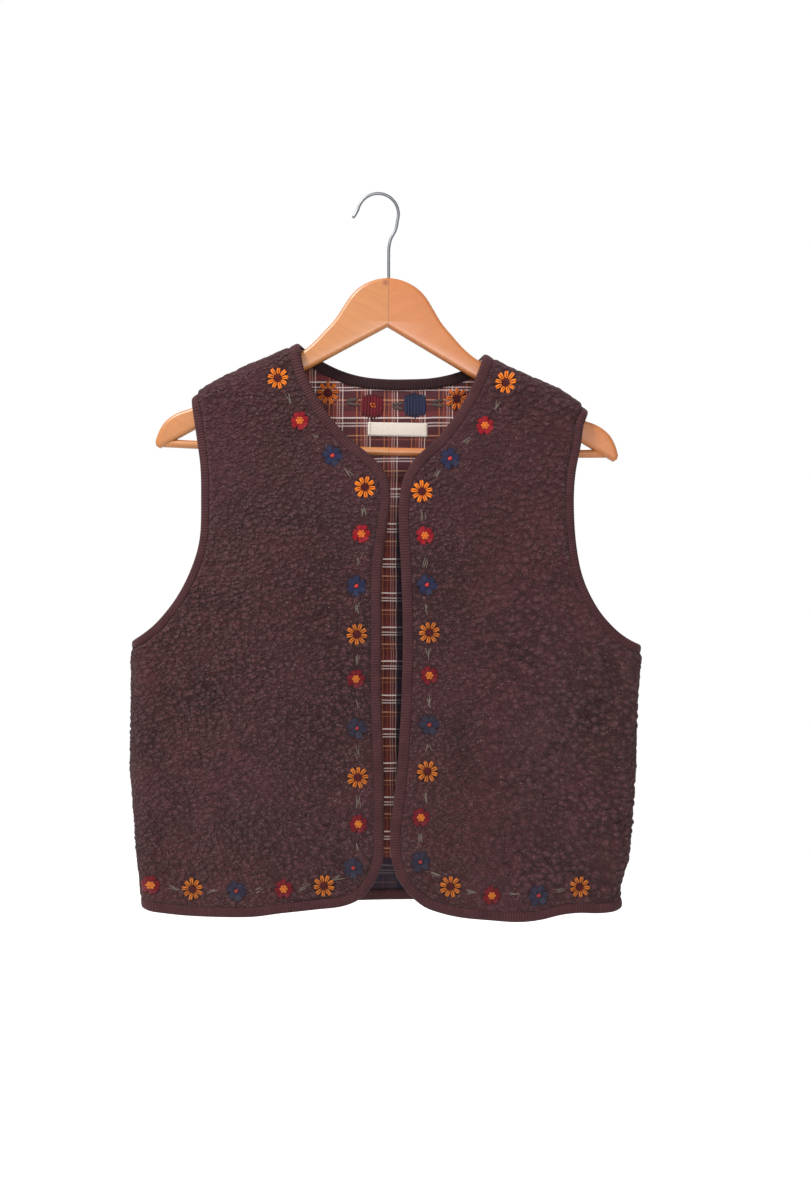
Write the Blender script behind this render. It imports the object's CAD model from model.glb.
import math

import bmesh
import bpy
import numpy as np
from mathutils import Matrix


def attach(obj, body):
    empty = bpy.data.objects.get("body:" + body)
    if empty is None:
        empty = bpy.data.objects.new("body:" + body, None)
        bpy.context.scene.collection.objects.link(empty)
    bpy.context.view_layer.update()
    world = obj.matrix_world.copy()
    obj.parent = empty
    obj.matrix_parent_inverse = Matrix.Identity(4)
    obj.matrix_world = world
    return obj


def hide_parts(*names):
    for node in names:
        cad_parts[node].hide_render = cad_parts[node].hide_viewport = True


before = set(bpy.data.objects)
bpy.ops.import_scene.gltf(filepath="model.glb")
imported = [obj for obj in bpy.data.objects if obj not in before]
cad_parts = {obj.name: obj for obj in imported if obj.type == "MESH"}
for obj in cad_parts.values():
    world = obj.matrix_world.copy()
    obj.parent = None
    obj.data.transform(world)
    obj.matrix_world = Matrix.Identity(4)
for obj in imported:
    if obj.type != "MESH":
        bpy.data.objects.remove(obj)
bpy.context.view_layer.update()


# ---- Camera ----
# Level with the middle of the vest and square to it, on the hook's line. The frame's middle lies a
# little below and to the right of the lens axis, so the frame is shifted by that much.
FRAME_HEIGHT = 1200  # pixels
SENSOR = 36  # millimetres
AWAY, SEEN = 1.1, 1.1551  # metres to the hanger's plane, and the height taken in there
camera_data = bpy.data.cameras.new("camera")
camera_data.sensor_fit = "VERTICAL"
camera_data.sensor_height = SENSOR
camera_data.lens = SENSOR * AWAY / SEEN
camera_data.shift_x = 20.5 / FRAME_HEIGHT
camera_data.shift_y = -70 / FRAME_HEIGHT
camera = bpy.data.objects.new("camera", camera_data)
camera.location = (0.006738, -AWAY, -0.322471)
camera.rotation_euler = (math.radians(90), 0, 0)
bpy.context.collection.objects.link(camera)
bpy.context.scene.camera = camera


# ---- Light ----
# A white room: soft light from all round, a large soft key from the upper left, a lamp beside the
# camera, which shines through the open front on the lining, and a weak one behind.
VEST_MIDDLE = np.array([0, 0, -0.42])
world = bpy.data.worlds.new("white_room")
bpy.context.scene.world = world
world.use_nodes = True
world.node_tree.nodes["Background"].inputs["Color"].default_value = (1, 1, 1, 1)
world.node_tree.nodes["Background"].inputs["Strength"].default_value = 1.0
bpy.context.scene.view_settings.view_transform = "Standard"

for name, place, size, watts in (
    ("key", (-1.0, -0.9, 1.2), 0.5, 80),
    ("front", (0.1, -2.4, -0.2), 0.5, 36),
    ("back", (0.4, 1.9, 0.6), 1.4, 24),
):
    lamp = bpy.data.lights.new(name, "AREA")
    lamp.size = size
    lamp.energy = watts
    lit = bpy.data.objects.new(name, lamp)
    lit.location = place
    aim = VEST_MIDDLE - place
    lit.rotation_euler = (
        math.acos(-aim[2] / np.linalg.norm(aim)), 0, math.atan2(aim[1], aim[0]) - math.pi / 2)
    bpy.context.collection.objects.link(lit)


# ---- Fleece panels ----
# Two fronts and a back of boucle pile on a knitted backing, sewn at the shoulders and sides. The
# pile is pressed flat under the binding and lower along the embroidered border. Plaid cotton faces
# the fronts on the inside.
MM = 0.001

# The cut: the seams and the finished edges, as rows of [x, z]. They are those of the solids.
CUT = {
    "shoulder_right": [
        [-75.5, -146.4], [-104, -159.6], [-132.8, -172.6], [-156.9, -184.6], [-168, -191.8],
        [-176.5, -199]],
    "shoulder_left": [
        [101.5, -156.6], [119.4, -166.8], [143.4, -178.4], [171.3, -190.6], [187, -201],
        [199.5, -211.3]],
    "side_right": [
        [-232.5, -429], [-232.3, -486], [-233.4, -549], [-229, -607], [-225.8, -650],
        [-223.5, -683]],
    "side_left": [
        [249, -433], [244.4, -486], [243, -549], [238.8, -611], [235.5, -640], [229, -663],
        [231, -683.5]],
    "armhole_front_right": [
        [-176.5, -199], [-175, -210], [-171, -236], [-167.3, -262], [-166.3, -290], [-167.8, -332],
        [-175.4, -358.5], [-189.8, -386.7], [-208, -409.5], [-220.5, -420.5], [-232.5, -429]],
    "armhole_front_left": [
        [199.5, -211.3], [195, -222], [191.9, -241.7], [186.5, -268], [184.5, -294],
        [186.6, -336.6], [193.7, -369.7], [208, -398], [224, -416.5], [237, -426.5], [249, -433]],
    "armhole_back_right": [
        [-176.5, -199], [-175.5, -212], [-173, -240], [-171, -290], [-174, -340], [-184, -374],
        [-199, -399], [-217, -418], [-232.5, -429]],
    "armhole_back_left": [
        [199.5, -211.3], [196.5, -224], [192, -250], [189.5, -294], [192, -340], [201, -378],
        [216, -406], [234, -424.5], [249, -433]],
    "neck_back": [
        [-75.5, -146.4], [-56, -158.5], [-37, -167.8], [-17.6, -173.6], [5, -176.3], [31, -176.5],
        [52, -175.4], [72, -171.5], [88, -165.5], [101.5, -156.6]],
    "hem_back": [
        [-223.5, -683], [-190, -685.5], [-120, -686], [-40, -684.8], [30, -683.8], [120, -685],
        [190, -685.5], [231, -683.5]],
    "hem_front_right": [
        [-223.5, -683], [-185, -686.8], [-150, -686.8], [-116, -685], [-92, -681.4], [-60, -678.3],
        [-35.5, -675.8], [-21.5, -671], [-11, -663.5]],
    "edge_front_right": [
        [-11, -663.5], [-2.5, -651], [3.9, -632], [4.9, -604], [4.9, -557], [2.5, -482],
        [2.5, -420], [3, -360], [7.7, -322.5], [11, -290], [9, -274], [-2.7, -257.5], [-26, -237.5],
        [-45.5, -216.5], [-61.5, -190.5], [-71, -170], [-75.5, -146.4]],
    "hem_front_left": [
        [231, -683.5], [210, -685.2], [191, -684.8], [172, -686], [152.6, -689], [129, -690.5],
        [105, -689], [77, -685.7], [58.4, -681.4], [44.3, -676], [30, -665]],
    "edge_front_left": [
        [30, -665], [18.5, -648], [13, -627], [12.4, -609], [14.7, -585.6], [19.4, -543],
        [23, -482], [24.3, -420], [22.7, -360], [20.4, -313], [21.2, -294], [26, -271],
        [38, -253.5], [56, -237], [73, -215.5], [87.5, -191.5], [97, -170], [101.5, -156.6]],
}
# Which way each panel faces, how far it stands out from the hanger's plane, a place in its field,
# and its largest folds: middle x and z, half width, half length, lean from upright, rise.
PANELS = {
    "front_right": {"front": -1, "depth": 28, "heart": (-110, -400), "folds": [
        (-185, -575, 34, 95, 6, -3.5), (-95, -520, 38, 75, -8, 2.6), (-60, -600, 22, 60, -10, -2.2),
        (-110, -300, 40, 60, 35, -2.6), (-100, -665, 40, 30, 0, 2.4)]},
    "front_left": {"front": -1, "depth": 28, "heart": (130, -400), "folds": [
        (150, -600, 26, 90, 24, -4), (215, -500, 15, 60, 12, -3), (110, -520, 36, 70, 4, 2.6),
        (100, -400, 36, 60, -12, -2.2), (190, -650, 22, 45, 8, -3), (140, -672, 24, 30, 0, 2.6)]},
    "back": {"front": 1, "depth": 22.5, "heart": (8, -430), "folds": [
        (-120, -560, 32, 100, -6, 3), (-40, -600, 30, 90, 4, -3), (60, -560, 34, 110, -3, 2.6),
        (150, -610, 28, 80, 8, -3.2), (10, -330, 60, 50, 0, -2.4)]},
}
MIDDLE = 12  # x between the two fronts
SIDE_RADIUS, SIDE_REACH = 14, 150
SHOULDER_RADIUS, SHOULDER_REACH = 12, 170
SHOULDER_SLOPE = 0.87
SHOULDER_LEAN = math.radians(28)
FOLD_FREE = 60  # from a seam to where a fold has its full rise
SEAM_GAP = 0.3
CLOSED = -0.25  # depth of a sewn seam, where the two piles meet
ridge = np.array(sorted(CUT["shoulder_right"] + CUT["shoulder_left"]))
right_side, left_side = (np.array(CUT["side_" + side])[::-1] for side in ("right", "left"))


def smooth(t):
    t = np.clip(t, 0, 1)
    return t * t * (3 - 2 * t)


def unit(vectors, spare=0):
    return vectors / (np.linalg.norm(vectors, axis=-1, keepdims=True) + spare)


def grow(distance, radius, reach, full):
    """How far the cloth has come out at a distance from a seam: round at first, then slowly."""
    e = np.maximum(distance, 0)
    round_off = np.sqrt(1 - (1 - np.minimum(e / radius, 1)) ** 2)
    return np.maximum(radius * round_off + (full - radius) * smooth(e / reach), 0.01)


def depth_at(name, x, z):
    """How far a panel's backing cloth stands out from the hanger's plane at x, z."""
    panel = PANELS[name]
    from_side = np.minimum(x - np.interp(z, right_side[:, 1], right_side[:, 0]),
                           np.interp(z, left_side[:, 1], left_side[:, 0]) - x)
    from_top = (np.interp(x, ridge[:, 0], ridge[:, 1]) - z) * SHOULDER_SLOPE
    side = grow(from_side, SIDE_RADIUS, SIDE_REACH, panel["depth"])
    top = grow(from_top, SHOULDER_RADIUS, SHOULDER_REACH, panel["depth"])
    rise = np.zeros_like(x)
    for middle_x, middle_z, width, length, lean, height in panel["folds"]:
        along = z - middle_z
        across = x - middle_x - along * math.tan(math.radians(lean))
        rise += height * np.exp(-((across / width) ** 2) - (along / length) ** 2)
    rise *= smooth(from_side / FOLD_FREE) * smooth(from_top / FOLD_FREE)
    return (side ** -6.0 + top ** -6.0) ** (-1 / 6) + rise


def on_cloth(name, x, z, height, depth=None):
    """Points above a panel's backing cloth at x, z, and the way it faces there. A given depth holds
    a seam in its plane."""
    front, near = PANELS[name]["front"], 0.2
    depth = depth_at(name, x, z) if depth is None else depth
    slope_x = (depth_at(name, x + near, z) - depth_at(name, x - near, z)) / (2 * near)
    slope_z = (depth_at(name, x, z + near) - depth_at(name, x, z - near)) / (2 * near)
    normal = unit(np.stack([-slope_x, np.full_like(x, front), -slope_z], -1))
    place = np.stack([x, front * (depth + SEAM_GAP / 2), z], -1)
    return place + normal * np.asarray(height)[..., None], normal


def measured(points):
    """A line: its points, and how far along it each of them lies."""
    return points, np.r_[0, np.cumsum(np.linalg.norm(np.diff(points, axis=0), axis=1))]


def through(rows):
    """A smooth line through the rows."""
    p = np.array(rows, float)
    p = np.vstack([2 * p[0] - p[1], p, 2 * p[-1] - p[-2]])
    t = np.linspace(0, 1, 40, endpoint=False)[:, None]
    parts = []
    for a, b, c, d in zip(p, p[1:], p[2:], p[3:]):
        before, here, after = (np.linalg.norm(q - r) ** 0.5 for q, r in ((b, a), (c, b), (d, c)))
        leave = ((b - a) / before - (c - a) / (before + here) + (c - b) / here) * here
        arrive = ((c - b) / here - (d - b) / (here + after) + (d - c) / after) * here
        parts.append((2 * t**3 - 3 * t**2 + 1) * b + (t**3 - 2 * t**2 + t) * leave
                     + (3 * t**2 - 2 * t**3) * c + (t**3 - t**2) * arrive)
    return measured(np.vstack([*parts, p[-2]]))


def at(line, distance):
    points, run = line
    return np.stack([np.interp(distance, run, points[:, k]) for k in (0, 1)], -1)


def part_way(line, share):
    return at(line, share * line[1][-1])


LINES = {name: through(rows) for name, rows in CUT.items()}


def chain(*names):
    """Several lines as one. A name after a minus sign runs backwards."""
    parts = [LINES[name.lstrip("-")][0][::-1 if name[0] == "-" else 1] for name in names]
    return measured(np.vstack([parts[0], *(part[1:] for part in parts[1:])]))


def ease(share, length, radius, both):
    """Shares of a flat row that lie evenly on the cloth, which turns down by a radius at an end."""
    spare = radius * (math.pi / 2 - 1)
    total = length + spare * (2 if both else 1)
    from_end = (1 - share) * total
    if both:
        from_end = np.minimum(from_end, share * total)
    turned = np.where(from_end < radius * math.pi / 2,
                      radius * (1 - np.cos(np.minimum(from_end / radius, math.pi / 2))),
                      from_end - spare)
    flat = turned / length
    return np.where(share < 0.5, flat, 1 - flat) if both else 1 - flat


# Each panel's top, bottom and two sides.
SIDES = {f"front_{side}": [chain(f"shoulder_{side}"), chain(f"-hem_front_{side}"),
                           chain(f"-edge_front_{side}"),
                           chain(f"armhole_front_{side}", f"side_{side}")]
         for side in ("right", "left")}
SIDES["back"] = [chain("-shoulder_right", "neck_back", "shoulder_left"), chain("hem_back"),
                 chain("armhole_back_right", "side_right"), chain("armhole_back_left", "side_left")]


def lay(name, columns, rows):
    """Flat points of a panel between its sides, closer together where the cloth turns."""
    top, bottom, left, right = SIDES[name]
    down = np.linspace(0, 1, rows + 1)[:, None]
    across = np.linspace(0, 1, columns + 1)[None, :]
    height = 0.5 * (left[1][-1] + right[1][-1])
    v = 1 - ease(1 - down, height, SHOULDER_RADIUS, False) + across * 0
    length = np.linalg.norm(part_way(left, v[:, :1]) - part_way(right, v[:, :1]), axis=-1)
    u = ease(across + down * 0, length, SIDE_RADIUS, name == "back")
    row = [part_way(line, u) for line in (top, bottom)]
    column = [part_way(line, v) for line in (left, right)]
    u, v = u[..., None], v[..., None]
    (a, b), (c, d) = (part_way(line, np.array([0, 1])) for line in (top, bottom))
    corners = (1 - v) * ((1 - u) * a + u * b) + v * ((1 - u) * c + u * d)
    return (1 - v) * row[0] + v * row[1] + (1 - u) * column[0] + u * column[1] - corners


def shoulder_normal(x):
    """The way that the sewn edge of a shoulder faces, outwards and up."""
    lean = math.copysign(SHOULDER_LEAN, x - MIDDLE)
    return math.sin(lean), 0, math.cos(lean)


def settle(name, flat):
    """The backing cloth in space: its points and normals, with the seams held in their plane."""
    x, z = flat[..., 0], flat[..., 1]
    depth = depth_at(name, x, z)
    on_seam = []
    for end in ([-1] if "front" in name else [0, -1]):
        side = "left" if x[0, end] > 0 else "right"
        under = z[:, end] <= CUT["side_" + side][0][1] + 0.01
        depth[under, end] = CLOSED
        on_seam.append((under, end, 1 if side == "left" else -1))
    top = np.ones(x.shape[1], bool)
    if name == "back":
        neck = CUT["neck_back"]
        top = (x[0] <= neck[0][0] + 0.1) | (x[0] >= neck[-1][0] - 0.1)
    depth[0, top] = CLOSED
    places, normals = on_cloth(name, x, z, 0, depth)
    inner = unit(np.cross(np.gradient(places, axis=1), np.gradient(places, axis=0)), 1e-9)
    normals = inner * np.sign(np.sum(inner * normals, -1, keepdims=True))
    for under, end, sign in on_seam:
        normals[under, end] = (sign, 0, 0)
    for index in np.flatnonzero(top):
        normals[0, index] = shoulder_normal(x[0, index])
    return places, normals


def curls(points, pitch, seed):
    """0 between the curls to 1 on their tops: round lumps of many heights in scattered places."""
    scatter = np.random.default_rng(seed).random((8192, 4))
    q = points / pitch
    cell = np.floor(q).astype(np.int64)
    height = np.zeros(len(q))
    for step in np.ndindex(3, 3, 3):
        corner = cell + np.array(step) - 1
        mixed = np.bitwise_xor.reduce(corner * (73856093, 19349663, 83492791), axis=1)
        spot = scatter[mixed % len(scatter)]
        away = np.linalg.norm(q - corner - spot[:, :3], axis=1)
        lump = (0.5 + 0.5 * spot[:, 3]) * np.clip(1 - (away / 0.85) ** 2, 0, 1)
        height = np.maximum(height, lump)
    return height


def boucle(points):
    """The pile's height, 0 to 1: long waving rows to the wearer's right, round curls to the left,
    worn in patches and lower on the chest."""
    x, z = points[:, 0], points[:, 2]
    waved = points.copy()
    waved[:, 2] += 2.4 * np.sin(x / 17 + 1.8 * np.sin(z / 26)) + 1.1 * np.sin(x / 7.3 + z / 19)
    rows = curls(waved, np.array([6.4, 5.0, 3.6]), 5)
    rounds = curls(points, np.array([4.9, 4.9, 4.5]), 11)
    patch = 0.5 + 0.5 * np.sin(x / 61 + 1.3 * np.sin(z / 83)) * np.cos(z / 97 + 0.7)
    share = smooth((x + 40) / 200 + 0.6 * (patch - 0.5))
    worn = 0.62 + 0.38 * (np.sin(x / 23 + 1.7 * np.sin(z / 31 + 1))
                          * np.cos(z / 29 + 1.1 * np.sin(x / 41)))
    worn *= 0.66 + 0.34 * smooth((-240 - z) / 150)
    return 0.45 + (rows * (1 - share) + rounds * share - 0.44) * worn


def away_from(flat, *names):
    """The distance from each flat point to the nearest of the lines."""
    lines = [LINES[name] for name in names]
    spots = np.vstack([at(line, np.arange(0, line[1][-1], 1.5)) for line in lines])
    points = flat.reshape(-1, 2)
    near = np.full(len(points), 1e9)
    for start in range(0, len(spots), 64):
        gaps = points[:, None] - spots[None, start:start + 64]
        near = np.minimum(near, (gaps**2).sum(-1).min(1))
    return np.sqrt(near).reshape(flat.shape[:2])


ARMHOLES = {name: [line for line in CUT if "armhole_" + name in line] for name in PANELS}
BORDERS = {name: [line for line in CUT if line.endswith("_" + name) and "armhole" not in line]
           for name in PANELS}
# Short creases where the empty garment buckles. Columns: x, z of each end, width, depth.
CREASES = {
    "front_right": [
        (-212, -436, -196, -500, 7, 1.7), (-226, -520, -190, -585, 9, 1.5),
        (-168, -345, -140, -372, 8, 1.2), (-60, -470, -52, -560, 10, 1.1),
        (-205, -640, -160, -655, 8, 1.4), (-150, -560, -128, -640, 12, 1.3),
        (-96, -215, -70, -262, 9, 1.0)],
    "front_left": [
        (206, -428, 226, -500, 7, 2.0), (236, -515, 205, -560, 9, 1.4),
        (178, -350, 150, -385, 8, 1.2), (150, -560, 172, -650, 11, 1.8),
        (196, -600, 214, -668, 8, 1.8), (76, -480, 84, -560, 10, 1.1),
        (118, -228, 92, -272, 9, 1.0)],
    "back": [
        (-215, -440, -190, -510, 8, 1.7), (-222, -545, -180, -600, 9, 1.4),
        (-120, -210, -60, -232, 12, 1.3), (150, -215, 82, -236, 12, 1.2),
        (228, -445, 205, -520, 8, 1.8), (236, -560, 190, -612, 10, 1.5),
        (-70, -520, -58, -640, 12, 1.6), (92, -500, 104, -630, 12, 1.5)],
}


def creased(name, flat):
    """How deep the hand-placed creases are at each point."""
    total = np.zeros(flat.shape[:2])
    for x0, z0, x1, z1, width, depth in CREASES[name]:
        start, run = np.array([x0, z0]), np.array([x1 - x0, z1 - z0])
        share = np.clip((flat - start) @ run / (run @ run), 0, 1)
        bow = 5 * np.sin(np.pi * share)[..., None] * np.array([-run[1], run[0]]) / np.hypot(*run)
        away = np.linalg.norm(flat - start - share[..., None] * run - bow, axis=-1)
        ends = smooth(3 * share) * smooth(2.5 * (1 - share))
        total += depth * np.exp(-((away / width) ** 2)) * ends
    return total


def in_turn(first, places):
    """Flowers of the three kinds in turn, from the first that is given by its number."""
    kinds = ("orange", "red", "blue")
    return [(kinds[(first + i) % 3], x, z) for i, (x, z) in enumerate(places)]


# The flowers' places, along the neck, the front edges and the hem, where the pile is sewn flat.
FLOWERS = {
    "front_right": in_turn(0, [
        (-94.7, -178.8), (-73.6, -219.5), (-42.7, -252.8), (-12.0, -282.6), (-15.3, -326.2),
        (-20.0, -375.0), (-19.5, -420.4), (-20.4, -462.1), (-19.5, -508.5), (-18.6, -554.4),
        (-18.1, -598.0), (-22.8, -639.3), (-50.5, -656.3), (-88.0, -658.3), (-132.2, -661.3),
        (-174.4, -661.6), (-214.3, -658.7)]),
    "front_left": in_turn(0, [
        (121.0, -183.1), (101.2, -224.2), (67.9, -255.6), (41.5, -286.5), (44.2, -327.8),
        (46.1, -374.0), (48.4, -418.7), (48.4, -458.8), (48.4, -505.2), (46.6, -548.8),
        (40.5, -591.9), (40.0, -633.6), (68.1, -656.6), (106.7, -665.7), (150.5, -666.4),
        (190.9, -660.4)]),
    "back": in_turn(0, [
        (-48.7, -189.2), (-5.9, -201.8), (35.9, -200.9), (76.8, -195.1)]) + in_turn(2, [
        (-186, -661), (-143, -662), (-101, -661), (-59, -661), (-17, -660), (26, -659), (68, -660),
        (110, -661), (152, -661), (195, -661)]),
}
FLOWER_RADIUS = {"orange": 7.5, "red": 6.5, "blue": 7.5}
FLEECE_FIELD, FLEECE_EDGE = 5.5, 2.6  # thickness of the wall
PILE_HEIGHT, FULLER_PILE = 2.4, 1.1  # how much of it the curls make, and what a side seam adds
BORDER, BORDER_END = 30, 18  # width of the low pile, and where it rises again
TAPE_COVER = 7


def pile_at(name, flat, places):
    """Thickness of the fleece at each point, and the shade of its pile."""
    border = away_from(flat, *BORDERS[name])
    edge = np.minimum(border, 1.6 + away_from(flat, *ARMHOLES[name]))
    band = 1 - smooth((border - BORDER) / BORDER_END)
    free = np.ones(edge.shape)
    for kind, x, z in FLOWERS[name]:
        away = np.hypot(flat[..., 0] - x, flat[..., 1] - z)
        free *= smooth((away - FLOWER_RADIUS[kind]) / 5)
    height = boucle(places.reshape(-1, 3)).reshape(edge.shape)
    stands = smooth((edge - TAPE_COVER) / 3.5) * free
    dent = creased(name, flat)
    rise = FLEECE_FIELD - FLEECE_EDGE - 0.9 * band - 0.9 * (1 - free) - dent
    thick = FLEECE_EDGE + rise * smooth((edge - TAPE_COVER) / 6)
    # Beside the side seams, where nothing rubs it, the pile stands fuller.
    full = PILE_HEIGHT + FULLER_PILE * smooth(1 - away_from(flat, "side_right", "side_left") / 36)
    return (thick + (height - 0.55) * full * stands * (1 - 0.45 * band),
            (height - 0.1 * dent) * stands)


def grid(bm, points):
    """A grid of four-sided faces through points[row][column], and its vertices in that order."""
    rows, columns = points.shape[:2]
    made = bmesh.ops.create_grid(bm, x_segments=columns - 1, y_segments=rows - 1, size=1)["verts"]
    for vertex, place in zip(made, points.reshape(-1, 3) * MM):
        vertex.co = place
    return [made[row * columns:(row + 1) * columns] for row in range(rows)]


def piece(bm, name, *materials):
    """Makes an object of the mesh, with its faces outwards, which rides on the body."""
    bm.normal_update()
    bmesh.ops.recalc_face_normals(bm, faces=bm.faces)
    mesh = bpy.data.meshes.new(name)
    bm.to_mesh(mesh)
    bm.free()
    mesh.polygons.foreach_set("use_smooth", [True] * len(mesh.polygons))
    for material in materials:
        mesh.materials.append(material)
    made = bpy.data.objects.new(name, mesh)
    bpy.context.collection.objects.link(made)
    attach(made, "root")
    return made


def shell(name, outer, inner, *materials):
    """A closed wall: a fine outer grid, an inner one of half as many steps, and the rim between."""
    bm = bmesh.new()
    top = grid(bm, outer)
    low = grid(bm, inner)
    for face in {face for row in low for vertex in row for face in vertex.link_faces}:
        face.material_index = len(materials) - 1
    borders = [(top[0], low[0]), (top[-1], low[-1]),
               ([row[0] for row in top], [row[0] for row in low]),
               ([row[-1] for row in top], [row[-1] for row in low])]
    step = (len(top) - 1) // (len(low) - 1)
    for fine, coarse in borders:
        for i in range(len(coarse) - 1):
            run = fine[i * step:(i + 1) * step + 1]
            bm.faces.new([*run, coarse[i + 1], coarse[i]])
    return piece(bm, name, *materials)


def tint(code):
    """A screen colour such as 4b3235, in the linear values that a shader takes."""
    values = [int(code[i:i + 2], 16) / 255 for i in (0, 2, 4)]
    return (*(v / 12.92 if v <= 0.04045 else ((v + 0.055) / 1.055) ** 2.4 for v in values), 1)


def paint(name):
    """Starts a material, to which add then adds."""
    global tree
    material = bpy.data.materials.new(name)
    material.use_nodes = True
    tree = material.node_tree
    tree.nodes.clear()
    return material


def add(kind, *values, out=None, **named):
    """Adds a shader node to the material in hand. A kind in capitals is a Math operation. Values go
    in order to the inputs in use; a named one goes to that input or, in small letters, setting. A
    value is a number, a screen colour or an output. It gives the first output in use, or out."""
    node = tree.nodes.new("ShaderNode" + ("Math" if kind.isupper() else kind))
    if kind.isupper():
        node.operation = kind
    if kind == "Mix":
        node.data_type = "RGBA"
    for key in filter(str.islower, named):
        setattr(node, key, named[key])
    given = [*zip((socket for socket in node.inputs if socket.enabled), values),
             *((node.inputs[key.replace("_", " ")], named[key]) for key in named
               if not key.islower())]
    for socket, value in given:
        if isinstance(value, bpy.types.NodeSocket):
            tree.links.new(value, socket)
        else:
            socket.default_value = tint(value) if isinstance(value, str) else value
    return (node.outputs[out] if out
            else next((socket for socket in node.outputs if socket.enabled), None))


# Brown pile in curls 3 to 5 mm across: dull, dark between the curls and paler on their tops, with
# loose fibres that catch the light. On the chest it is darker, with lower curls.
pile = paint("boucle_pile_fleece")
spot = add("TexCoord", out="Object")
sideways, _, up = add("SeparateXYZ", spot).node.outputs
stirred = add("TexNoise", spot, 160, out="Color")
stirred = add("VectorMath", stirred, (0.003, 0.003, 0.003), spot, operation="MULTIPLY_ADD")
laid = add("Mapping", stirred, Scale=(0.8, 1, 1.1))
fine, coarse = (add("TexVoronoi", laid, size, Smoothness=0.15, feature="SMOOTH_F1")
                for size in (250, 180))
to_left = add("MapRange", sideways, 0.05, 0.14, 0, 1)
between = add("Mix", to_left, fine, coarse, data_type="FLOAT")
fibre = add("TexNoise", spot, 900, 3, 0.65)
chest = add("MapRange", up, -0.38, -0.24, 1, 0.6)
patch = add("MULTIPLY_ADD", add("TexNoise", spot, 17), 1.6, -0.05)
curl = add("MULTIPLY", add("MapRange", between, 0.3, 0.66, 0, 1), patch)
curl = add("MULTIPLY", curl, chest)
relief = add("MULTIPLY_ADD", fibre, 0.35, add("SUBTRACT", 1, curl))
warm = add("MapRange", add("TexNoise", spot, 8, 3), 0.36, 0.64, 0, 1)
green = add("MapRange", add("TexNoise", spot, 5.3), 0.5, 0.7, 0, 0.5)
dye = add("Mix", warm, "3b2024", "3d1f1f")
dye = add("Mix", green, dye, "362422")
dye = add("Mix", add("SUBTRACT", 1, chest), dye, "280f14")
stand = add("Attribute", out="Fac", attribute_name="pile")
lit = add("SUBTRACT", add("MapRange", stand, 0.1, 0.6, 0, 1), 0.2)
lit = add("MULTIPLY_ADD", fibre, 0.4, lit)
shade = add("Mix", lit, add("Mix", 0.6, dye, "170c0e"), dye)
tops = add("MULTIPLY", add("MapRange", between, 0.08, 0.34, 0.13, 0),
           add("MULTIPLY_ADD", fibre, 2, -0.3))
shade = add("Mix", tops, shade, "6b5b5d")
shade = add("Mix", add("MULTIPLY", curl, 0.9), shade, "1d0c0e")
fleck = add("MapRange", add("TexNoise", spot, 1100, 1), 0.64, 0.74, 0, 0.5)
add("OutputMaterial", add(
    "BsdfPrincipled", Base_Color=add("Mix", fleck, shade, "7b676a"), Roughness=0.95,
    Specular_IOR_Level=0.12, Sheen_Weight=0.2, Sheen_Roughness=0.45, Sheen_Tint="786365",
    Normal=add("Bump", Height=relief, Distance=0.0052, Strength=1)))

# Plaid cotton, woven in maroon and brown with white and orange lines, and a navy band along the hem
# and beside the opening: matt, and a little wavering, as worn cloth is.
THREAD, BROKEN, THIN = 0.0008, 0.0023, 0.002
plaid = paint("plaid_cotton")
spot = add("TexCoord", out="Object")
waver = add("VectorMath", add("TexNoise", spot, 38, out="Color"), (0.5,) * 3,
            operation="SUBTRACT")
moved = add("VectorMath", waver, (0.0022, 0, 0.0018), spot, operation="MULTIPLY_ADD")
sideways, _, up = add("SeparateXYZ", moved).node.outputs
above = add("MAXIMUM", add("ADD", up, 0.3509), 0)
down_cloth = add("MULTIPLY_ADD", above, -0.033, up)
across_cloth = add("MULTIPLY_ADD", above, -0.01, add("ADD", sideways, 0.0014))


def wave(along, period):
    """-1 and 1 in turn along a coordinate, once in each period: threads, ribs or stitches."""
    return add("SINE", add("MULTIPLY", along, 2 * math.pi / period))


def lines(coordinate, period, centre, width, soft=0.0002):
    """1 on lines of a width, in metres, that repeat along a coordinate. The weave breaks up thin
    ones."""
    wrapped = add("FLOORED_MODULO", add("ADD", coordinate, period / 2 - centre), period)
    off = add("ABSOLUTE", add("SUBTRACT", wrapped, period / 2))
    line = add("MapRange", off, width / 2 - soft, width / 2 + soft, 1, 0)
    if width > THIN:
        return line
    broken = wave(up if coordinate == across_cloth else sideways, BROKEN)
    return add("MULTIPLY", line, add("MULTIPLY_ADD", broken, 0.22, 0.85))


low = add("MapRange", up, -0.315, -0.29, 1, 0)
colour = add("Mix", add("TexNoise", spot, 60), "40191d", "4e201d")
colour = add("Mix", add("MULTIPLY_ADD", low, -0.45, 0.45), colour, "200c10")
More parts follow.
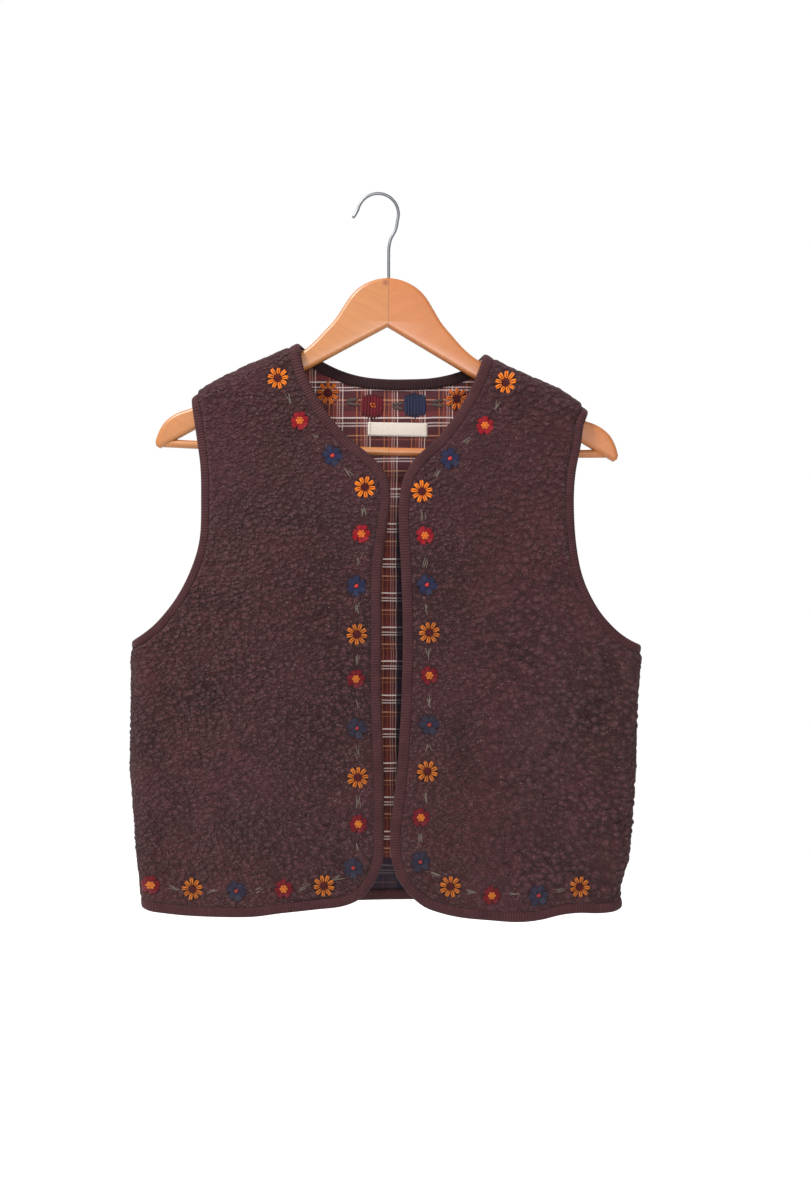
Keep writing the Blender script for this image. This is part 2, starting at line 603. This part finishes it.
# Each coordinate with the repeat of its lines; the two navy bands come only once.
down, across = (down_cloth, 0.0333), (across_cloth, 0.0267)
front_band, hem_band = (across_cloth, 0.2136), (down_cloth, 3.33)
for run, centre, width, code, share in (
    (down, -0.3590, 0.0085, "36161d", 0.75),  # brown ground bars
    (across, -0.0010, 0.0090, "39191d", 0.6),
    (down, -0.3475, 0.0050, "5c2223", 0.5),  # rust bars
    (across, 0.0130, 0.0060, "612621", 0.4),
    (down, -0.3509, 0.0012, "e7d8d2", 0.85),  # white lines
    (down, -0.3558, 0.0010, "dccac5", 0.75),
    (down, -0.3585, 0.0010, "dccac5", 0.75),
    (across, -0.0079, 0.0010, "d8c4bc", 0.7),
    (across, -0.0109, 0.0008, "c2aaa2", 0.55),
    (across, -0.0131, 0.0008, "c2aaa2", 0.55),
    (down, -0.3676, 0.0010, "c78f6b", 0.7),  # orange lines
    (across, 0.0060, 0.0010, "b87044", 0.65),
    (across, 0.0100, 0.0008, "a8683f", 0.45),
    (down, -0.3716, 0.0008, "a8683f", 0.45),
    (front_band, 0.0265, 0.0150, "161321", 0.85),
    (hem_band, -0.6640, 0.0420, "14131f", 0.9),
):
    covered = add("MULTIPLY", lines(*run, centre, width), share)
    if run is front_band:
        covered = add("MULTIPLY", covered, low)
    elif width < THIN:
        plainer = add("MULTIPLY_ADD", low, 0.5 if run is down else 0, 0.56)
        covered = add("MULTIPLY", covered, plainer)
    colour = add("Mix", covered, colour, code)
woven = add("MULTIPLY", wave(sideways, THREAD), wave(up, THREAD))
shade = add("MULTIPLY_ADD", woven, 0.09, 0.12)
add("OutputMaterial", add(
    "BsdfPrincipled", Base_Color=add("Mix", shade, colour, "1a0c0f"), Roughness=0.9,
    Specular_IOR_Level=0.2,
    Normal=add("Bump", Height=woven, Distance=0.0002, Strength=0.5)))

for name in PANELS:
    flat = lay(name, *((260, 280) if name == "back" else (176, 420)))
    places, normals = settle(name, flat)
    thick, height = pile_at(name, flat, places)
    inner = places[::2, ::2]
    cloth = shell("fleece_" + name, places + normals * thick[..., None], inner,
                  *([pile] if name == "back" else [pile, plaid]))
    shades = np.r_[height.ravel(), np.zeros(inner[..., 0].size)]
    cloth.data.attributes.new("pile", "FLOAT", "POINT").data.foreach_set("value", shades)
    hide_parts(name)


# ---- Back lining ----
# The back's plaid lining, a thin cloth just inside the fleece, sewn into the neck and hem bindings.
LINING_OUTER, LINING_INNER = 0.3, 1.3  # from the fleece to its two faces
LINING_GAP = 0.25  # the most that it stands clear of them
flat = lay("back", 150, 160)
places, normals = settle("back", flat)
ripple = 0.25 * np.sin(flat[..., 0] / 9 + 2 * np.sin(flat[..., 1] / 31)) * smooth(
    (away_from(flat, *BORDERS["back"], *ARMHOLES["back"]) - 8) / 20)
ripple *= smooth((depth_at("back", flat[..., 0], flat[..., 1]) - 12) / 6)
outer, inner = (places - normals * (depth + LINING_GAP + ripple)[..., None]
                for depth in (LINING_OUTER, LINING_INNER))
lining = shell("plaid_back_lining", outer, inner[::2, ::2], plaid)
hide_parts("back_lining")


# ---- Bindings ----
# Ribbed tape, folded over each raw edge and stitched down, about 10 mm wide on the face. One length
# runs from each side seam round the hem and front edge to the shoulder; each armhole has a ring.
RIB = 0.0026  # real ribs are finer, and wouldn't show


def ribbed_tape(name, dark, faded):
    """Cotton tape with ribs across it: a row of fine dark ridges, faded where it is rubbed."""
    ribbed = paint(name)
    spot = add("TexCoord", out="Object")
    rib = wave(add("SeparateXYZ", add("UVMap", uv_map="tape")), RIB)
    worn = add("MapRange", add("TexNoise", spot, 60, 5, 0.75), 0.35, 0.65, 0, 1.25)
    base = add("Mix", worn, dark, faded)
    groove = add("MULTIPLY_ADD", rib, 0.25, 0.34)
    fuzz = add("Bump", Height=add("TexNoise", spot, 700), Distance=0.0003,
               Strength=0.4)
    add("OutputMaterial", add(
        "BsdfPrincipled", Base_Color=add("Mix", groove, base, "200e10"), Roughness=0.88,
        Specular_IOR_Level=0.15, Sheen_Weight=0.15, Sheen_Roughness=0.5,
        Sheen_Tint="856364",
        Normal=add("Bump", Height=rib, Distance=0.0003, Strength=0.8, Normal=fuzz)))
    return ribbed


ribbed = ribbed_tape("ribbed_binding_tape", "2a1214", "361b1e")
unfaded = ribbed_tape("unfaded_binding_tape", "150709", "1b0b0d")
TAPE_FACE, ARMHOLE_FACE = 8.8, 7.2  # width that shows on the pile
TAPE_CLOSED = -0.14  # depth of its ends, which are sewn into a seam
TAPE_STEP = 2.2
END_BLEND = 14


def tape_sections(name, line, seams, wide):
    """Sections of a folded tape along a line: from the upper flap, round the edge, to the lower
    one, and back inside. The tape's two ends lie along the two seams."""
    total = line[1][-1]
    distance = total * ease(np.linspace(0, 1, int(total / TAPE_STEP)), total, SIDE_RADIUS, True)
    edge = at(line, distance)
    tangent = unit(at(line, distance + 0.5) - at(line, distance - 0.5))
    inward = np.stack([-tangent[:, 1], tangent[:, 0]], -1)
    middle = len(edge) // 2
    if np.dot(inward[middle], PANELS[name]["heart"] - edge[middle]) < 0:
        inward = -inward
    # Columns: distance in from the edge, height on the face side or under side.
    face = FLEECE_EDGE + 0.5
    low = -0.5 - (LINING_INNER if name == "back" else 0)
    mid, half = (face + low) / 2, (face - low) / 2
    outer = [(wide, face + 0.2), (wide - 0.8, face + 0.6), (6, face + 0.75), (4, face + 0.9),
             (2, face + 0.85), (0.4, face + 0.4), (-0.6, mid + half * 0.5), (-0.9, mid),
             (-0.6, mid - half * 0.5), (0.3, low - 0.7), (2, low - 0.95), (4, low - 1),
             (7, low - 1), (10, low - 0.9)]
    inner = [(wide, face - 0.2), (wide - 0.8, face), (6, face + 0.15), (4, face + 0.2),
             (2, face + 0.1), (0.6, face - 0.3), (-0.3, mid + half * 0.45), (-0.5, mid),
             (-0.3, mid - half * 0.45), (0.6, low + 0.25), (2, low), (4, low), (7, low),
             (10, low + 0.05)]
    loop = np.array([*outer, *inner[::-1]])
    reach = np.maximum(loop[:, 0], 0)
    flat = edge[:, None] + inward[:, None] * reach[None, :, None]
    for end, seam in zip((0, -1), seams):
        blend = smooth(1 - np.abs(distance - distance[end]) / END_BLEND)[:, None, None]
        flat = flat * (1 - blend) + blend * (at(seam, reach)[None] + (edge - edge[end])[:, None])
    x, z = flat[..., 0], flat[..., 1]
    depth = depth_at(name, x, z)
    depth[[0, -1]] = TAPE_CLOSED
    places, normals = on_cloth(name, x, z, 0, depth)
    for end, seam in zip((0, -1), seams):
        step, side = at(seam, 10) - at(seam, 0), edge[end][0]
        normals[end] = ((math.copysign(1, side - MIDDLE), 0, 0) if abs(step[1]) > abs(step[0])
                        else shoulder_normal(side))
    beyond = np.maximum(-loop[:, 0], 0)
    out = unit(places[:, 5] - places[:, 3])
    return (places + normals * loop[None, :, 1, None] + out[:, None] * beyond[None, :, None],
            measured(loop)[1])


def tape(name, runs, ring=False, cloth=ribbed):
    """Binds the edges that the runs give, each with its panel, line and two seams."""
    parts = [tape_sections(*run, ARMHOLE_FACE if ring else TAPE_FACE) for run in runs]
    sections = np.vstack([part[0] if i == 0 else part[0][::-1] for i, part in enumerate(parts)])
    travel = measured(sections[:, 7])[1]
    width = np.r_[parts[0][1], parts[0][1][-1] + 1]
    sections = np.concatenate([sections, sections[:, :1]], 1)
    if ring:
        sections = np.concatenate([sections, sections[:1]], 0)
        travel = np.r_[travel, travel[-1] + 1]
    bm = bmesh.new()
    made = grid(bm, sections)
    layer = bm.loops.layers.uv.new("tape")
    spots = {vertex: (travel[j] * MM, width[i] * MM) for j, row in enumerate(made)
             for i, vertex in enumerate(row)}
    for face in bm.faces:
        for loop in face.loops:
            loop[layer].uv = spots[loop.vert]
    if not ring:
        size = len(made[0]) - 1
        for row in (made[0], made[-1]):
            for k in range(size // 2 - 1):
                bm.faces.new([row[k], row[k + 1], row[size - 2 - k], row[size - 1 - k]])
    bmesh.ops.remove_doubles(bm, verts=bm.verts, dist=1e-6)
    made = piece(bm, name, cloth)
    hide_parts(name.replace("tape", "binding"))


for side in ("right", "left"):
    front = f"front_{side}"
    shoulder, side_seam = LINES[f"shoulder_{side}"], LINES[f"side_{side}"]
    shoulder_back, side_back = chain(f"-shoulder_{side}"), chain(f"-side_{side}")
    tape(f"tape_{front}",
         [(front, chain(f"hem_{front}", f"edge_{front}"), (side_back, shoulder))])
    tape(f"tape_armhole_{side}",
         [(front, LINES[f"armhole_{front}"], (shoulder_back, side_seam)),
          ("back", LINES[f"armhole_back_{side}"], (shoulder_back, side_seam))], ring=True)
tape("tape_neck_back", [("back", LINES["neck_back"],
                         (LINES["shoulder_right"], LINES["shoulder_left"]))], cloth=unfaded)
tape("tape_hem_back", [("back", LINES["hem_back"], (chain("-side_right"), chain("-side_left")))])


# ---- Embroidery ----
# Satin-stitched flowers in a row inside the binding: orange daisies of paired petals, red flowers
# with an orange heart, blue ones with a small red heart, and pale sprigs between them.
STITCH = 0.00055
ON_FACE, ON_REVERSE = 3.9, -1.75  # height of the cloth that the thread is sewn to
DULL_BELOW = -400  # flowers low on the garment rub and fade more
SPRIG_GAP = 62  # flowers further apart have no sprig between them


def thread(name, light, dark, rough=0.5):
    """Cotton floss, with a soft gleam on the ridges of the stitches across each petal."""
    made = paint(name)
    laid = add("Attribute", out="Vector", attribute_name="thread")
    along, across, _ = add("SeparateXYZ", laid).node.outputs
    slant = add("MULTIPLY_ADD", add("ABSOLUTE", across), 0.5, along)
    ridges = wave(slant, STITCH)
    groove = add("MULTIPLY_ADD", ridges, -0.16,
                 add("Attribute", out="Fac", attribute_name="tone"))
    add("OutputMaterial", add(
        "BsdfPrincipled", Base_Color=add("Mix", groove, light, dark), Roughness=rough,
        Specular_IOR_Level=0.15,
        Normal=add("Bump", Height=ridges, Distance=0.0002, Strength=0.8)))
    return made


FLOSS = {use: thread(name + "_floss", light, dark, 0.7 if "leaf" in use else 0.5)
         for use, name, light, dark in (
    ("orange", "orange", "cb6e1c", "84360d"),
    ("red", "red", "760815", "42050c"),
    ("blue", "blue", "1c1e38", "0f0f1d"),
    ("rose", "rose", "a82f2b", "701a1e"),
    ("heart", "maroon", "400c11", "1c0608"),
    ("leaf", "grey_green", "5e554d", "3a312b"),
    ("dull orange", "dull_orange", "a35a1f", "612d0f"),
    ("dull red", "dull_red", "570913", "31060d"),
    ("dull blue", "dull_blue", "221e2d", "13111a"),
    ("dull rose", "dull_rose", "7c2625", "4c1719"),
    ("worn leaf", "worn_grey", "443835", "2a2120"),
    ("worn orange", "worn_orange", "b45b1e", "612a11"),
    ("worn red", "worn_red", "570f18", "30090e"),
    ("worn blue", "worn_blue", "1f223b", "121322"))}
LOBES = {}


def floss_lobe(name, slot):
    """A plain round lobe of one colour, from which every stitch of that colour is shaped."""
    bm = bmesh.new()
    bmesh.ops.create_uvsphere(bm, u_segments=10, v_segments=7, radius=1)
    for face in bm.faces:
        face.material_index = slot
    LOBES[name] = bpy.data.meshes.new("lobe_" + name)
    bm.to_mesh(LOBES[name])
    bm.free()


for slot, name in enumerate(FLOSS):
    floss_lobe(name, slot)


# A lobe has its colour, middle, direction, start and end along it, offset and half width across it,
# and height over the cloth.
def age(z):
    return "dull " if z < DULL_BELOW else ""


def daisy(x, z, spin, size=1.12, floss=None):
    floss = floss or age(z) + "orange"
    petals = [(floss, x, z, spin + i * 40, 3 * size, (9 + 0.6 * (i % 2)) * size, 0.85 * side, 1.15,
               1.3) for i in range(9) for side in (-1, 1)]
    return petals + [("heart", x, z, spin, -3.6, 3.6, off, 1.6, 0.7) for off in (-2.1, 0, 2.1)]


def red_flower(x, z, spin):
    petals = [(age(z) + "red", x, z, spin + i * 360 / 7 + 6 * (i % 2), 1.5,
               8.6 + 0.8 * ((i * 5) % 3) / 2, off, half, 1.0 - 0.15 * abs(off))
              for i in range(7) for off, half in ((-1.5, 1.4), (1.5, 1.4), (0, 1.7))]
    knot = (age(z) or "worn ") + "orange"
    knots = [(knot, x + 2.5 * math.cos(math.radians(a)), z + 2.5 * math.sin(math.radians(a)), a,
              -1.5, 1.5, 0, 1.5, 1.7) for a in range(0, 360, 60)]
    return petals + knots + [(knot, x, z, 0, -1.9, 1.9, 0, 1.9, 1.9)]


def blue_flower(x, z, spin):
    petals = [(age(z) + "blue", x, z, spin + i * 60 + 5 * (i % 2), 1.2, 9.2 + 0.6 * ((i * 5) % 3),
               off, half, 0.9 - 0.1 * abs(off))
              for i in range(6) for off, half in ((-1.8, 1.5), (1.8, 1.5), (0, 1.9))]
    return petals + [(age(z) + "rose", x, z, 20, -2.1, 2.1, 0, 1.7, 1.4),
                     (age(z) + "rose", x + 0.8, z + 1, 70, -1.1, 1.1, 0, 1.1, 1.9)]


def block(x, z, spin, colour):
    """The reverse of a flower: long floats side by side."""
    return [(colour, x, z, 90 + spin, -13.2 + 1.4 * abs(off) / 4, 13.2 - abs(off) / 3, off, 2.1,
             0.6) for off in (-8.7, -5.8, -2.9, 0, 2.9, 5.8, 8.7)]


def sprig(x, z, line_angle):
    """A few thin strands of unequal length, roughly along the row."""
    flip = rng.choice([0, 180])
    return [("leaf", x + rng.uniform(-2.2, 2.2), z + rng.uniform(-2.2, 2.2),
             line_angle + flip + rng.uniform(-26, 26), -rng.uniform(2.5, 6), rng.uniform(4, 9), 0,
             rng.uniform(0.35, 0.7), rng.uniform(0.5, 1.3)) for _ in range(rng.integers(3, 6))]


def embroider(name, panel, lobes, base, sense=1):
    """Sews padded lobes on a panel."""
    rng = np.random.default_rng(len(lobes))
    bm = bmesh.new()
    for lobe in lobes:
        bm.from_mesh(LOBES[lobe[0]])
    ball = np.array([vertex.co for vertex in bm.verts]).reshape(len(lobes), -1, 3)
    x, z, angle, start, end, off, half, high = (
        np.array([lobe[k] for lobe in lobes], float)[:, None] for k in range(1, 9))
    angle = np.radians(angle)
    share = (1 + ball[..., 2]) / 2
    girth = np.maximum(1 - ball[..., 2] ** 2, 1e-4) ** 0.5
    along = start + share * (end - start)
    # Side lobes draw in to the petal's root; a petal is broader towards its tip.
    petal = start > 0
    spread = np.where(petal, 0.45 + 0.55 * np.sin(np.pi * np.minimum(share * 1.1, 0.62)) / 0.93, 1)
    swell = np.where(petal, 0.62 + 0.5 * share, 1)
    across = off * spread + ball[..., 0] / girth * girth**0.7 * half * swell
    flat_x = x + along * np.cos(angle) - across * np.sin(angle)
    flat_z = z + along * np.sin(angle) + across * np.cos(angle)
    height = ball[..., 1] * np.where(ball[..., 1] > 0, high, 0.7)
    places, _ = on_cloth(panel, flat_x, flat_z, base + sense * height)
    for vertex, place in zip(bm.verts, places.reshape(-1, 3) * MM):
        vertex.co = place
    made = piece(bm, name, *FLOSS.values())
    laid = np.stack([along, across - off * spread, np.zeros_like(along)], -1) * MM
    vein = smooth(-1.6 * ball[..., 0] * np.sign(off) - 0.2) * smooth(3 - 3.4 * share)
    tones = (0.4 + 0.4 * rng.random(x.shape) - 0.5 * np.maximum(ball[..., 1], 0)
             + 0.4 * (girth < 0.6) + 0.9 * vein)
    for kind, use, key, values in (("FLOAT_VECTOR", "thread", "vector", laid),
                                   ("FLOAT", "tone", "value", tones)):
        made.data.attributes.new(use, kind, "POINT").data.foreach_set(key, values.ravel())


rng = np.random.default_rng(3)
SEWN = {"orange": daisy, "red": red_flower, "blue": blue_flower}
for name, rows in FLOWERS.items():
    lobes = []
    for kind, x, z in rows:
        lobes += SEWN[kind](x, z, rng.uniform(0, 60))
    for (_, x0, z0), (_, x1, z1) in zip(rows, rows[1:]):
        if math.hypot(x1 - x0, z1 - z0) < SPRIG_GAP:
            line_angle = math.degrees(math.atan2(z1 - z0, x1 - x0))
            lobes += sprig((x0 + x1) / 2, (z0 + z1) / 2, line_angle)
    embroider("embroidery_" + name, name, lobes, ON_FACE)

# The reverse of the four flowers at the back neck, which shows on the lining.
reverse = []
for kind, x, z in FLOWERS["back"][:4]:
    reverse += (daisy(x, z, 10, 1.22, "worn orange") if kind == "orange"
                else block(x, z, rng.uniform(-3, 3), "worn " + kind))
reverse += [("orange", -5 + dx, -201 + dz, a, -1.6, 1.6, 0, 0.5, 1.4)
            for dx, dz, a in ((-2, 1, 80), (1, 1.5, 20), (2, -1, 110), (-0.5, -1.5, 150))]
for x, z in ((-25.4, -197.9), (19.4, -201.8), (57.5, -198.9)):
    reverse += [("worn leaf", x, z + dz, turn, -6, 6, 0, 1.6, 0.7)
                for dz, turn in ((2, 8), (-2, -10))]
embroider("embroidery_reverse_neck", "back", reverse, ON_REVERSE, -1)


# ---- Label ----
# A blank strip of cream tape, its ends folded under, sewn on the lining below the back neck with
# cream thread at its two ends.
LABEL_X, LABEL_Z, LABEL_SLOPE = 18.9, -224.2, math.tan(math.radians(-1.3))
LABEL_WIDE, LABEL_HIGH, LABEL_THICK = 58, 13, 0.7
WARP, WEFT = 0.0005, 0.0007
# Woven cotton tape: plain and matt, with a fine even weave.
cream = paint("cream_label_tape")
spot = add("TexCoord", out="Object")
sideways, _, up = add("SeparateXYZ", spot).node.outputs
woven = add("MULTIPLY", wave(sideways, WARP), wave(up, WEFT))
shade = add("MULTIPLY_ADD", woven, 0.12, 0.2)
add("OutputMaterial", add(
    "BsdfPrincipled", Base_Color=add("Mix", shade, "a39991", "8b7e70"), Roughness=0.7,
    Sheen_Weight=0.1, Normal=add("Bump", Height=woven, Distance=0.0001, Strength=0.5)))
across, down = np.meshgrid(LABEL_WIDE * np.linspace(-0.5, 0.5, 25),
                           LABEL_HIGH * np.linspace(0.5, -0.5, 7))
puff = 0.25 * np.cos(across / LABEL_WIDE * math.pi) * np.cos(down / LABEL_HIGH * math.pi)
places, _ = on_cloth("back", LABEL_X + across, LABEL_Z + down + across * LABEL_SLOPE, -1.95 - puff)
bm = bmesh.new()
grid(bm, places)
bmesh.ops.solidify(bm, geom=bm.faces[:], thickness=LABEL_THICK * MM)
bmesh.ops.bevel(bm, geom=[edge for edge in bm.edges if edge.calc_face_angle(0) > 1],
                offset=0.15 * MM, segments=1, profile=0.5, affect="EDGES", material=-1)
label = piece(bm, "label_tape", cream)
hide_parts("label")
FLOSS["cream"] = thread("cream_thread", "e6d9c2", "b9a88c")
floss_lobe("cream", len(FLOSS) - 1)
embroider("label_stitches", "back",
          [("cream", LABEL_X + side * 27.4, LABEL_Z - side * 0.62 + up, 90, -0.9, 0.9, 0, 0.28,
            0.45) for side in (-1, 1) for up in (-5, -2.5, 0, 2.5, 5)], -2.75, -1)


# ---- Hanger ----
# A flat beech hanger: two arms glued together in the middle, sanded round and varnished, a round
# bar between their ends, and a plated steel wire hook screwed into the joint.
HANGER_TOP, HANGER_TILT = (10.3, -80), math.radians(1.7)
ARM = [[0, 0], [12, -1.9], [26.4, -8.6], [36, -17.8], [43.2, -28.9], [51.4, -41.9], [62.4, -54.5],
       [72.1, -65], [82, -73.3], [91, -78.8], [190, -131.6], [199, -134.6], [207.5, -139.3],
       [214.3, -145.6], [218.8, -153.2], [221.6, -161.2], [222.4, -167], [218, -170.4]]
REACH = {-1: 219.5 / 222.5, 1: 225.5 / 222.5}  # the two arms differ a little in length
NOTCH = -47.3
ARM_THICK, ARM_ROUND, ARM_SLOPE = 11, 4, math.radians(28)
BAR_RADIUS, BAR_REACH, BAR_SAG = 4, 213, 3
WIRE_RADIUS, HOOK_RADIUS, HOOK_CENTRE = 1.5, 19.7, -18.3

# Clear varnish over beech: a low gloss on a straight fine-flecked grain that follows each arm, one
# arm redder than the other, a small dark knot, and the dark line of the glue joint.
wood = paint("varnished_beech")
joint_x = HANGER_TOP[0] * MM
spot = add("TexCoord", out="Object")
sideways = add("SeparateXYZ", spot)
lean = add("MULTIPLY",
           add("MapRange", sideways, joint_x - 0.0005, joint_x + 0.0005, -1, 1), ARM_SLOPE)
turned = add("VectorRotate", spot, Angle=lean, Center=(joint_x, 0, HANGER_TOP[1] * MM),
             rotation_type="Y_AXIS")
figure = add("TexNoise", add("Mapping", turned, Scale=(14, 160, 160)), 1.6, 4, 0.6)
fleck = add("TexNoise", add("Mapping", turned, Scale=(90, 700, 700)), 1)
knot = add("VectorMath", spot, (0.0072, -0.005, -0.0855), operation="DISTANCE")
knot = add("MapRange", knot, 0.0012, 0.0042, 0.75, 0)
on_left = add("GREATER_THAN", sideways, joint_x)
joint = add("ABSOLUTE", add("SUBTRACT", sideways, joint_x))
joint = add("LESS_THAN", joint, 0.0003)
body = add("Mix", figure, "905e31", "7f4a1f")
body = add("Mix", add("MULTIPLY", on_left, 0.3), body, "92481f")
body = add("Mix", add("MULTIPLY", fleck, 0.3), body, "6b3a17")
body = add("Mix", knot, body, "602e1b")
body = add("Mix", add("MULTIPLY", joint, 0.6), body, "48250d")
add("OutputMaterial", add(
    "BsdfPrincipled", Base_Color=body, Roughness=0.45, Specular_IOR_Level=0.35, Coat_Weight=0.15,
    Coat_Roughness=0.25,
    Normal=add("Bump", Height=figure, Distance=0.0002, Strength=0.35)))
cos, sin = math.cos(HANGER_TILT), math.sin(HANGER_TILT)


def hang(x, y, z):
    """A place on the hanger, which is tilted a little about its top."""
    return (HANGER_TOP[0] * MM + x * cos + z * sin, y, HANGER_TOP[1] * MM - x * sin + z * cos)


def drawn(name, places, closed=False, **settings):
    """The mesh of a curve through places, in metres, with its settings."""
    data = bpy.data.curves.new(name + "_line", "CURVE")
    for key, value in settings.items():
        setattr(data, key, value)
    line = data.splines.new("POLY")
    line.points.add(len(places) - 1)
    for point, place in zip(line.points, places):
        point.co = (*place, 1)
    line.use_cyclic_u = closed
    shape = bpy.data.objects.new(name + "_line", data)
    bpy.context.collection.objects.link(shape)
    bpy.context.view_layer.update()
    bm = bmesh.new()
    bm.from_mesh(bpy.data.meshes.new_from_object(shape))
    bpy.data.objects.remove(shape)
    bmesh.ops.remove_doubles(bm, verts=bm.verts, dist=1e-6)
    return bm


arm_rows = part_way(through(ARM), np.linspace(0, 1, 70)) * MM
outline = [(side * REACH[side] * reach, height, 0) for side in (1, -1)
           for reach, height in ([*arm_rows, [0, NOTCH * MM]] if side == 1 else arm_rows[:0:-1])]
bm = drawn("hanger_arms", outline, True, dimensions="2D", fill_mode="BOTH",
           extrude=(ARM_THICK / 2 - ARM_ROUND) * MM, bevel_depth=ARM_ROUND * MM,
           offset=-ARM_ROUND * MM, bevel_resolution=4)
for vertex in bm.verts:
    vertex.co = hang(vertex.co.x, -vertex.co.z, vertex.co.y)
arms = piece(bm, "hanger_arms", wood)
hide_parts("hanger_arm_right", "hanger_arm_left")

places = [hang(BAR_REACH * MM * s, 0, (-164 + 1.2 * s - BAR_SAG * (1 - s * s)) * MM)
          for s in np.linspace(-1, 1, 41)]
bar = piece(drawn("hanger_round_bar", places, dimensions="3D", bevel_depth=BAR_RADIUS * MM,
                  bevel_resolution=6, use_fill_caps=True), "hanger_round_bar", wood)
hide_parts("hanger_bar")

# Bright plating that has gone dull: a soft grey gleam, a little scuffed.
steel = paint("plated_steel_wire")
scuff = add("TexNoise", add("TexCoord", out="Object"), 500)
add("OutputMaterial", add(
    "BsdfPrincipled", Base_Color=add("Mix", scuff, "67696c", "56585b"), Metallic=0.9,
    Roughness=0.42))
bend = [[HOOK_RADIUS * math.cos(a), HOOK_CENTRE + HOOK_RADIUS * math.sin(a)]
        for a in np.radians(range(-15, 166, 10))]
wire = through([[10.3, -106], [10.3, -80], [10.3, -60], [10.7, -49], [12.7, -41.5], [16.9, -33.5],
                *bend, [-21.3, -17.9], [-24.1, -21.9]])
places = [(x, 0, z) for x, z in part_way(wire, np.linspace(0, 1, 120)) * MM]
hook = piece(drawn("hanger_wire_hook", places, dimensions="3D", bevel_depth=WIRE_RADIUS * MM,
                   bevel_resolution=4, use_fill_caps=True), "hanger_wire_hook", steel)
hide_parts("hanger_hook")


# ---- Floor ----
# A plain pale floor well below the hanging vest, painted matt, so it is white and has no gloss.
FLOOR_HEIGHT, FLOOR_HALF = -1.5, 3
pale = paint("pale_floor")
patch = add("TexNoise", add("TexCoord", out="Object"), 3)
add("OutputMaterial", add(
    "BsdfPrincipled", Base_Color=add("Mix", patch, "ffffff", "fcfcfb"), Roughness=0.9))
bm = bmesh.new()
bmesh.ops.create_grid(bm, x_segments=8, y_segments=8, size=FLOOR_HALF)
for vertex in bm.verts:
    vertex.co.z = FLOOR_HEIGHT
mesh = bpy.data.meshes.new("floor")
bm.to_mesh(mesh)
bm.free()
mesh.materials.append(pale)
floor = bpy.data.objects.new("floor", mesh)
bpy.context.collection.objects.link(floor)
